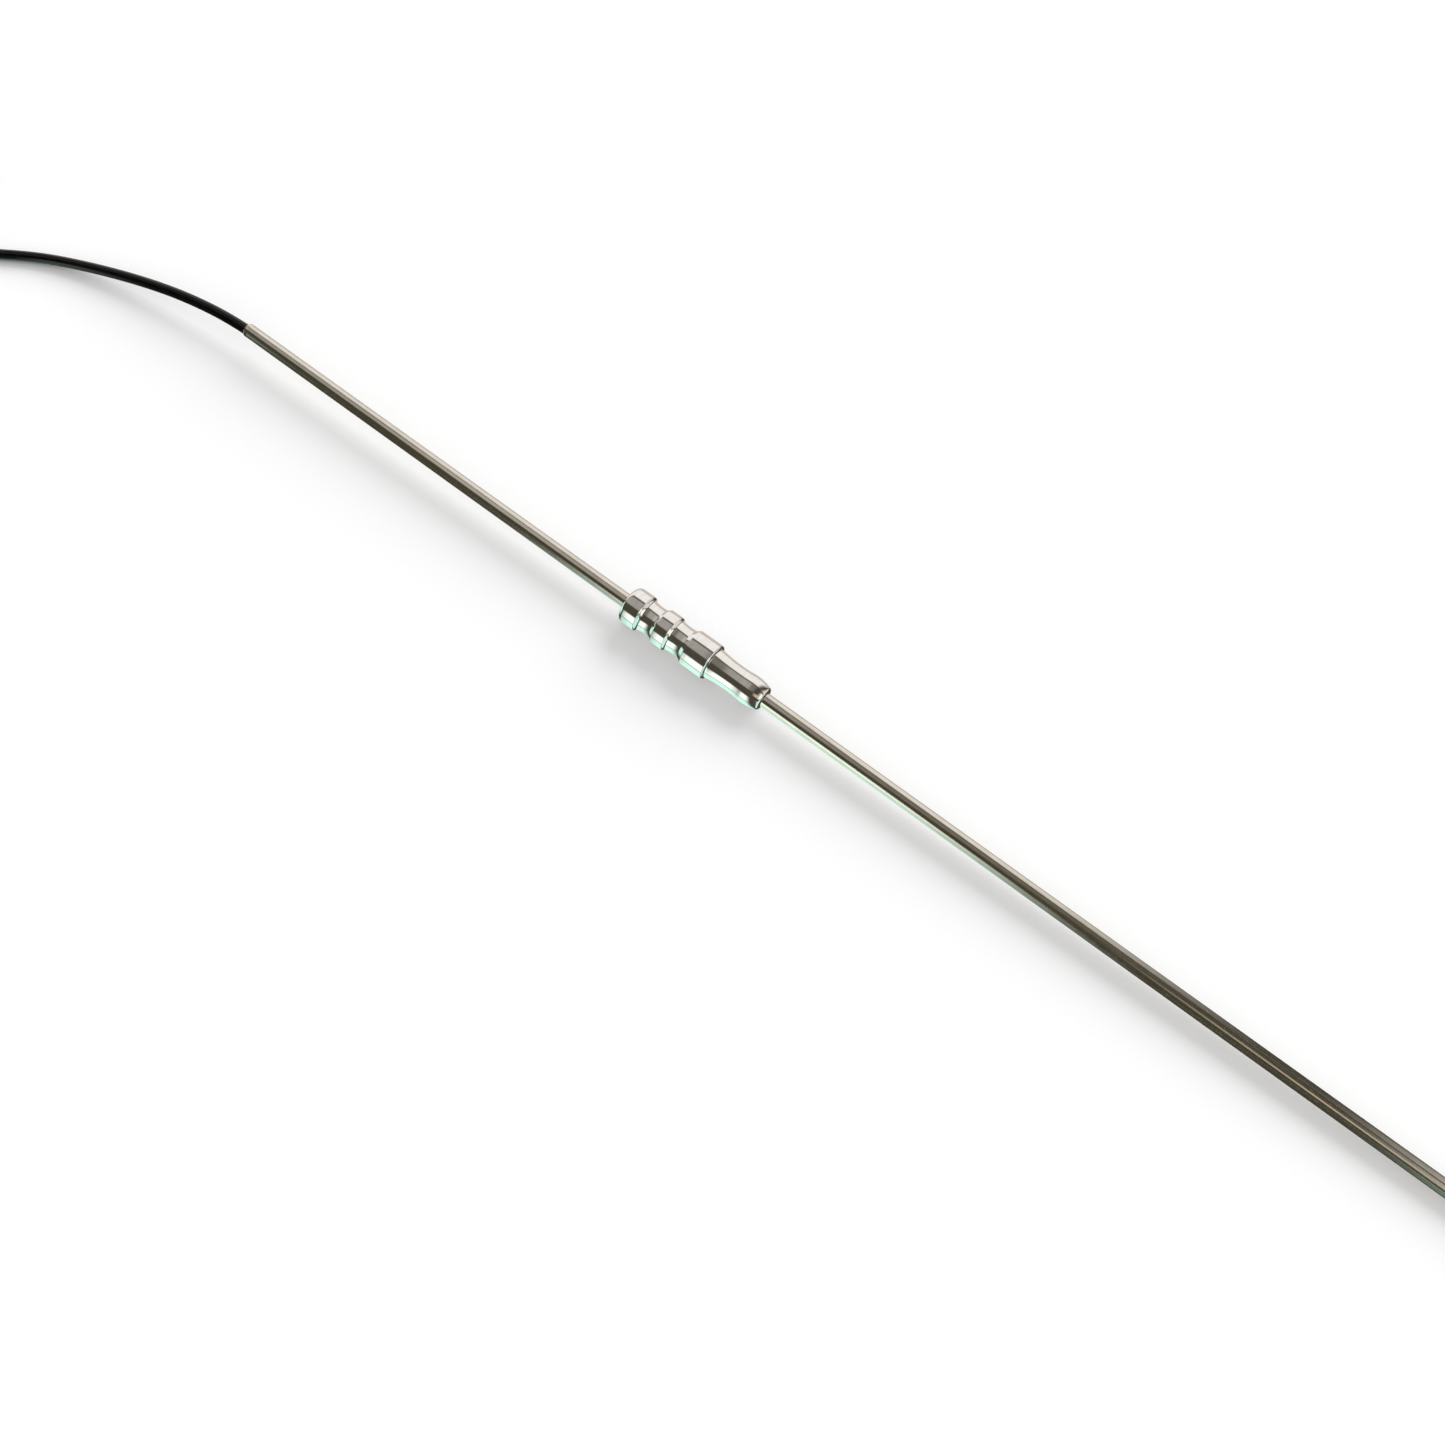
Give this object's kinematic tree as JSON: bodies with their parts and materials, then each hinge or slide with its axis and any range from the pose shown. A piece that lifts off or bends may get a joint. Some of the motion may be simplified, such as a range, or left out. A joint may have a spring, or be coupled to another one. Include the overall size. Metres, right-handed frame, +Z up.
{
  "type": "circular knitting needle",
  "caption": "Circular knitting needle: steel needle tips screwed to turned grip couplings, on hollow shanks that swivel on a thin flexible black cord folded into a tied hank.",
  "frame": {"origin": "on the table under the middle of the gap between the two needles", "axes": "+Z up from the table, +X along needle a towards its point; needle b is the same needle turned half round about +Z"},
  "size_m": [0.5434, 0.0183, 0.0053],
  "materials": {
    "needle_steel": "polished stainless steel, drawn lengthwise",
    "grip_metal": "bright turned nickel-plated metal with fine turning marks",
    "sleeve_brass": "plain turned brass",
    "black_cord": "smooth black nylon coating over a steel core",
    "tie_rubber": "matt black silicone rubber band"
  },
  "bodies": {
    "cord": {"cord_lead_a": "black_cord", "cord_hank": "black_cord", "cord_lead_b": "black_cord", "hank_tie": "tie_rubber", "crimp_sleeve_a": "sleeve_brass", "crimp_sleeve_b": "sleeve_brass", "core_wire_a": "needle_steel", "core_wire_b": "needle_steel"},
    "handle_a": {"shank_tube_a": "needle_steel", "thrust_plug_a": "sleeve_brass", "grip_coupling_a": "grip_metal"},
    "stud_a": {"coupling_stud_a": "needle_steel"},
    "tip_a": {"tip_ferrule_a": "grip_metal", "tip_shaft_a": "needle_steel"},
    "handle_b": {"shank_tube_b": "needle_steel", "thrust_plug_b": "sleeve_brass", "grip_coupling_b": "grip_metal"},
    "stud_b": {"coupling_stud_b": "needle_steel"},
    "tip_b": {"tip_ferrule_b": "grip_metal", "tip_shaft_b": "needle_steel"}
  },
  "joints": [
    {"name": "swivel_a", "type": "hinge", "parent": "cord", "child": "handle_a", "pos_m": [0.054, 0.0045, 0.00354], "axis": [0.9999, 0, -0.0121], "continuous": true},
    {"name": "tip_advance_a", "type": "slide", "parent": "handle_a", "child": "stud_a", "axis": [0.9999, 0, -0.0121], "range_m": [0, 0.005]},
    {"name": "tip_turn_a", "type": "hinge", "parent": "stud_a", "child": "tip_a", "pos_m": [0.13649, 0.0045, 0.00254], "axis": [0.9999, 0, -0.0121], "range_deg": [0, 3600]},
    {"name": "swivel_b", "type": "hinge", "parent": "cord", "child": "handle_b", "pos_m": [-0.054, -0.0045, 0.00354], "axis": [-0.9999, 0, -0.0121], "continuous": true},
    {"name": "tip_advance_b", "type": "slide", "parent": "handle_b", "child": "stud_b", "axis": [-0.9999, 0, -0.0121], "range_m": [0, 0.005]},
    {"name": "tip_turn_b", "type": "hinge", "parent": "stud_b", "child": "tip_b", "pos_m": [-0.13649, -0.0045, 0.00254], "axis": [-0.9999, 0, -0.0121], "range_deg": [0, 3600]}
  ],
  "couplings": [
    {"joint": "tip_turn_a", "follows": "tip_advance_a", "rad_per_m": 12566},
    {"joint": "tip_turn_b", "follows": "tip_advance_b", "rad_per_m": 12566}
  ]
}
